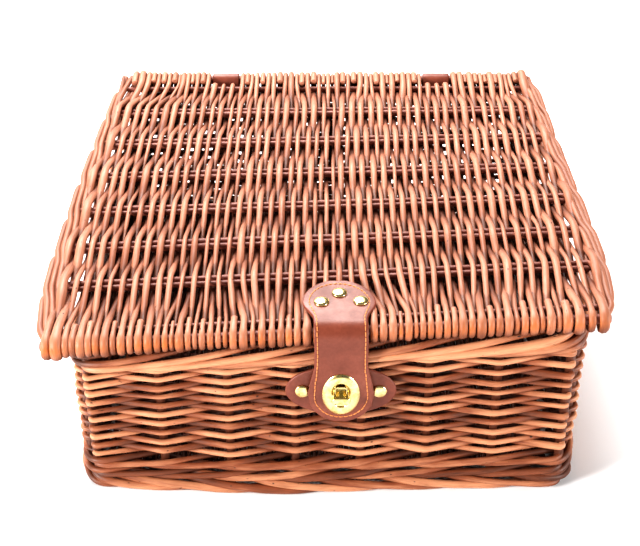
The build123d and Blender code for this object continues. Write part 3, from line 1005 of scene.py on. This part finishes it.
def make_strap():
    """One piece of leather: the tab on the lid, the fold over its edge and the tongue with its slot."""
    slot_half_x, slot_half_z = 5.1, 10.9
    slot_at = strap_run - (lock_z - tongue_low[2])
    ends = np.array([0.02, 0.1, 0.3, 0.7, 1.3, 2.1, 3.2, 4.6, 6.2, 8.2, 10.4])
    inner = np.linspace(12.6, slot_at - slot_half_z, 62)
    along = np.concatenate([ends, inner, [slot_at, slot_at + slot_half_z], strap_run - ends[::-1]])
    half = strap_half(along)
    squeeze = np.clip(half / 9.0, 0.02, 1)
    columns = []
    for w, fit in zip(half, squeeze):
        rim = w - EDGE_STEPS * fit
        body = np.linspace(rim[-1], slot_half_x * fit, 5)[1:]
        right = np.concatenate([rim, body])
        columns.append(np.concatenate([-right, [0.0], right[::-1]]))
    x = np.array(columns)
    near = np.minimum(half[:, None] - np.abs(x), np.minimum(along, strap_run - along)[:, None])
    lift = strap_thickness / 2 * edge_round(np.clip(near, 0, None))
    every_along = np.broadcast_to(along[:, None], x.shape)
    front = strap_point(every_along, x, lift)
    back = strap_point(every_along, x, -lift)
    rows = (along[:-1] + along[1:]) / 2
    cells_x = (x[:-1, :-1] + x[:-1, 1:]) / 2
    open_cells = (np.abs(rows - slot_at) < slot_half_z)[:, None] & (np.abs(cells_x) < slot_half_x)
    mesh = grid_mesh(front, back, open_cells)
    blend_strap(place(mesh, "strap", leather, None, ["strap_tab", "strap_tongue"]))


def blend_strap(piece):
    """Bakes a piece's place into its mesh."""
    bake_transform(piece)


def make_stitches():
    """The row of stitches inside the strap's edge, all the way round."""
    down = np.linspace(0, 1, 400)
    along = stitch_inset + (strap_run - 2 * stitch_inset) * (1 - np.cos(np.pi * down)) / 2
    half = strap_half(along, inset=stitch_inset, waist=16.8)
    loop = np.concatenate([np.stack([along, half], 1), np.stack([along, -half], 1)[::-1]])
    steps = np.linalg.norm(np.diff(loop, axis=0), axis=1)
    travelled = np.concatenate([[0], np.cumsum(steps)])
    count = int(travelled[-1] / stitch_length)
    length = travelled[-1] / count
    surface = strap_thickness / 2
    rods = Rods(sides=6, step=0.45, reach=0.9)
    for index in range(count):
        shares = np.array([0.04, 0.16, 0.5, 0.84, 0.96])
        wanted = (index + shares * 0.94) * length
        a = np.interp(wanted, travelled, loop[:, 0])
        x = np.interp(wanted, travelled, loop[:, 1]) + rng.normal(0, 0.08)
        lift = surface + np.array([-0.5, 0.12, 0.3, 0.12, -0.5])
        path = strap_point(a, x, lift)
        up = strap_point(a[2], x[2], lift[2] + 1) - path[2]
        rods.add(path, 0.42, up=up, roughness=0.02)
    blend_strap(rods.make("strap_stitches", thread, None, "leather", []))


def make_patch():
    """The oval leather patch behind the lock, flat, with a rounded edge."""
    low, high = box_mm("lock_patch")
    middle = (low + high) / 2
    half = (high - low) / 2
    rings = np.concatenate([[0.0], np.linspace(0.12, 0.9, 9), [0.95, 0.978, 0.992, 1.0]])
    turns = np.linspace(0, 2 * np.pi, 72, endpoint=False)
    reach = (1 - rings) * half[2]
    lift = half[1] * edge_round(reach)
    x = middle[0] + half[0] * rings[:, None] * np.cos(turns)
    z = middle[2] + half[2] * rings[:, None] * np.sin(turns)
    front = np.stack([x, np.broadcast_to((middle[1] - lift)[:, None], x.shape), z], axis=-1)
    back = np.stack([x, np.broadcast_to((middle[1] + lift)[:, None], x.shape), z], axis=-1)
    mesh = grid_mesh(front.transpose(1, 0, 2), back.transpose(1, 0, 2), closed=True)
    place(weld(mesh), "lock_patch_leather", leather, "basket", ["lock_patch"])


def hull(points):
    """The convex outline of some 2-D points, anticlockwise."""
    points = sorted(map(tuple, points))

    def half(run):
        chain = []
        for p in run:
            while len(chain) > 1:
                (ax, ay), (bx, by) = chain[-2], chain[-1]
                if (bx - ax) * (p[1] - ay) - (by - ay) * (p[0] - ax) > 0:
                    break
                chain.pop()
            chain.append(p)
        return chain[:-1]

    return np.array(half(points) + half(points[::-1]))


def make_hinge_loops():
    """The two leather loops round the back edge stick and the rim."""
    for side, x in loop_x.items():
        low, high = box_mm(f"hinge_loop_{side}")
        half_leather = loop_leather / 2
        turns = np.linspace(0, 2 * np.pi, 40, endpoint=False)
        radius = high[2] - half_leather - lid_z
        ring = np.stack([back_stick_y + radius * np.cos(turns), lid_z + radius * np.sin(turns)], 1)
        bottom, top = low[2] + half_leather, rim_top
        inner, outer = loop_inner_y - half_leather, loop_outer_y + half_leather
        block = [(inner, bottom), (outer, bottom), (outer, top), (inner, top)]
        outline = hull(np.concatenate([ring, block]))
        closed = np.concatenate([outline, outline[:1]])
        walk = resample(np.column_stack([np.zeros(len(closed)), closed]), 1.6)[:-1, 1:]
        for _ in range(2):
            walk = (np.roll(walk, 1, 0) + 2 * walk + np.roll(walk, -1, 0)) / 4
        ahead = np.roll(walk, -1, 0) - np.roll(walk, 1, 0)
        ahead /= np.linalg.norm(ahead, axis=1, keepdims=True)
        outward = np.stack([ahead[:, 1], -ahead[:, 0]], 1)
        rim = loop_half - EDGE_STEPS
        columns = np.concatenate([-rim, np.linspace(-rim[-1], rim[-1], 7)[1:-1], rim[::-1]])
        lift = half_leather * edge_round(loop_half - np.abs(columns))
        skins = []
        for sign in (1, -1):
            grid = np.empty((len(walk), len(columns), 3))
            grid[..., 0] = x + columns
            grid[..., 1:] = walk[:, None] + sign * lift[None, :, None] * outward[:, None]
            skins.append(grid)
        mesh = grid_mesh(*skins, closed=True)
        place(mesh, f"hinge_strap_{side}", leather, "basket", [f"hinge_loop_{side}"])


# ---------------------------------------------------------------- brass
def make_eyelet():
    """The oval eyelet plate: a flat face with a sloping rolled rim and an upright slot."""
    half_x = (plate_high[0] - plate_low[0]) / 2
    half_z = (plate_high[2] - plate_low[2]) / 2
    seat = plate_high[1]
    slot_half_x, slot_half_z = 4.75, 10.5
    turns = np.linspace(0, 2 * np.pi, 96, endpoint=False)
    outer = np.stack([half_x * np.cos(turns), half_z * np.sin(turns)], 1)
    straight = slot_half_z - slot_half_x
    inner = np.stack([slot_half_x * np.cos(turns), slot_half_x * np.sin(turns)], 1)
    inner[:, 1] += straight * np.clip(np.sin(turns) * 3, -1, 1)
    # how far from the slot to the rim, as a share, and how high above the leather
    profile = ((0.0, 0.1), (0.0, 1.3), (0.05, 1.72), (0.12, 1.85), (0.3, 1.9), (0.5, 1.95), (0.66, 1.9),
               (0.74, 1.75), (0.82, 1.4), (0.92, 0.85), (0.98, 0.45), (1.0, 0.15), (0.99, 0.02))
    rows = []
    for share, height in profile:
        x, z = (inner * (1 - share) + outer * share).T
        rows.append(np.stack([strap_x + x, np.full(len(turns), seat - height), lock_z + z], 1))
    verts = np.array(rows)
    count, around = verts.shape[:2]
    faces = []
    for r in range(count):
        for c in range(around):
            nr, nc = (r + 1) % count, (c + 1) % around
            faces.append([r * around + c, r * around + nc, nr * around + nc, nr * around + c])
    mesh = clean(mesh_mm("eyelet", verts.reshape(-1, 3), faces))
    place(mesh, "eyelet_plate_face", brass, "strap", ["eyelet_plate"])


def lathe(profile, centre, axis, segments=40):
    """Points and faces of a profile of (radius, height) turned about an axis through a centre."""
    axis = np.array(axis, float)
    side = np.array((1.0, 0, 0))
    other = np.cross(axis, side)
    turns = np.linspace(0, 2 * np.pi, segments, endpoint=False)
    verts = []
    for radius, height in profile:
        ring = side * np.cos(turns)[:, None] + other * np.sin(turns)[:, None]
        verts.append(np.array(centre) + ring * radius + axis * height)
    rows = len(profile)
    faces = []
    for r in range(rows - 1):
        for c in range(segments):
            nc = (c + 1) % segments
            near, far = r * segments, (r + 1) * segments
            faces.append([near + c, near + nc, far + nc, far + c])
    return np.concatenate(verts), faces


RIVET_RADIUS = 5.5
STRAP_RIVET_SPOTS = ((-13.9, -167.5), (-1.1, -156.8), (14.0, -166.4))


def rivet_profile():
    """A domed rivet head with a thin lip and a shank behind it."""
    shank = [(0.01, -1.5), (1.5, -1.5), (1.5, 0.0)]
    lip = [(RIVET_RADIUS - 0.3, 0.0), (RIVET_RADIUS - 0.02, 0.12), (RIVET_RADIUS, 0.4)]
    angles = np.radians(np.linspace(12, 88, 12))
    dome = [(RIVET_RADIUS * np.cos(a), 0.55 + 1.85 * np.sin(a)) for a in angles]
    return shank + lip + dome + [(0.01, 2.41)]


def make_rivets(name, nodes, body, places, axis):
    """A group of rivets as one piece."""
    verts, faces = [], []
    for spot in places:
        points, quads = lathe(rivet_profile(), spot, axis)
        base = sum(len(v) for v in verts)
        verts.append(points)
        faces += [[k + base for k in quad] for quad in quads]
    place(weld(mesh_mm(name, np.concatenate(verts), faces)), name, brass, body, nodes)


def make_all_rivets():
    """Three rivets through the strap's tab and two through the lock patch."""
    places = [(strap_x + x, mid_y + y, tab_high[2]) for x, y in STRAP_RIVET_SPOTS]
    make_rivets("strap_rivet_heads", ["strap_rivets"], "lid", places, (0, 0, 1))
    low, high = box_mm("patch_rivets")
    spacing = (high[0] - low[0]) / 2 - RIVET_RADIUS
    patch_front = box_mm("lock_patch")[0][1]
    places = [(strap_x + side * spacing, patch_front, (low[2] + high[2]) / 2) for side in (-1, 1)]
    make_rivets("patch_rivet_heads", ["patch_rivets"], "basket", places, (0, -1, 0))


def finish_brass_nodes():
    """Brass for the CAD pieces that stay."""
    names = ("eyelet_back_plate", "lock_base_plate", "lock_back_plate", "button_spindle", "button_head",
             "patch_burrs", "strap_burrs")
    for name in names:
        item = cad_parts[name]
        item.data.materials.clear()
        item.data.materials.append(brass)


make_lid_weave()
make_lid_sticks()
make_lid_borders()
make_walls()
make_stakes()
make_bands()
make_base()
make_strap()
make_stitches()
make_patch()
make_hinge_loops()
make_eyelet()
make_all_rivets()
finish_brass_nodes()


# ---------------------------------------------------------------- floor, light and camera
# places here are in metres
FLOOR_HALF = 1.6
LIGHT_TARGET = (0, 0, 0.1)


def make_stage():
    """A plain pale floor."""
    mesh = bpy.data.meshes.new("floor")
    corners = [(x * FLOOR_HALF, y * FLOOR_HALF, 0) for x, y in ((-1, -1), (1, -1), (1, 1), (-1, 1))]
    mesh.from_pydata(corners, [], [(0, 1, 2, 3)])
    floor = bpy.data.objects.new("floor", mesh)
    bpy.context.scene.collection.objects.link(floor)
    paper = new_material("floor_paper")
    mesh.materials.append(paper.finish({"Base Color": (0.93, 0.93, 0.93), "Roughness": 0.9}))


def area_light(name, location, size, power):
    """A soft square light that points at the hamper."""
    data = bpy.data.lights.new(name, "AREA")
    data.shape = "SQUARE"
    data.size = size
    data.energy = power
    light = bpy.data.objects.new(name, data)
    light.location = location
    direction = np.array(LIGHT_TARGET) - np.array(location)
    light.rotation_euler = Vector(direction).to_track_quat("-Z", "Y").to_euler()
    bpy.context.scene.collection.objects.link(light)


def make_light():
    """Surroundings that are white at the horizon and dim above it, a large lamp behind the hamper and a
    small one on each side."""
    world = bpy.data.worlds.new("studio")
    bpy.context.scene.world = world
    graph = Graph(world, "Background")
    direction = graph.add("ShaderNodeTexCoord", {}).outputs["Generated"]
    height = graph.add("ShaderNodeSeparateXYZ", {0: direction}).outputs["Z"]
    graph.finish({"Color": graph.grey_ramp(height, [(0.0, 0.9), (0.1, 0.9), (0.25, 0.09), (1.0, 0.22)])})
    area_light("back_light", (-0.3, 0.85, 1.3), 1.2, 45)
    area_light("left_light", (-1.6, -1.0, 0.75), 0.4, 43)
    area_light("right_light", (1.7, -0.9, 0.6), 0.4, 26)


def make_camera():
    """Looks down on the front of the hamper."""
    data = bpy.data.cameras.new("camera")
    data.sensor_width = 36.0
    data.lens = 78.75
    camera = bpy.data.objects.new("camera", data)
    camera.location = (-0.006, -0.9624 + mid_y * MM, 0.7513)
    camera.rotation_euler = (np.radians(54.5), 0, 0)
    bpy.context.scene.collection.objects.link(camera)
    bpy.context.scene.camera = camera


make_stage()
make_light()
make_camera()
bpy.context.scene.view_settings.view_transform = "Standard"
bpy.context.scene.view_settings.look = "High Contrast"
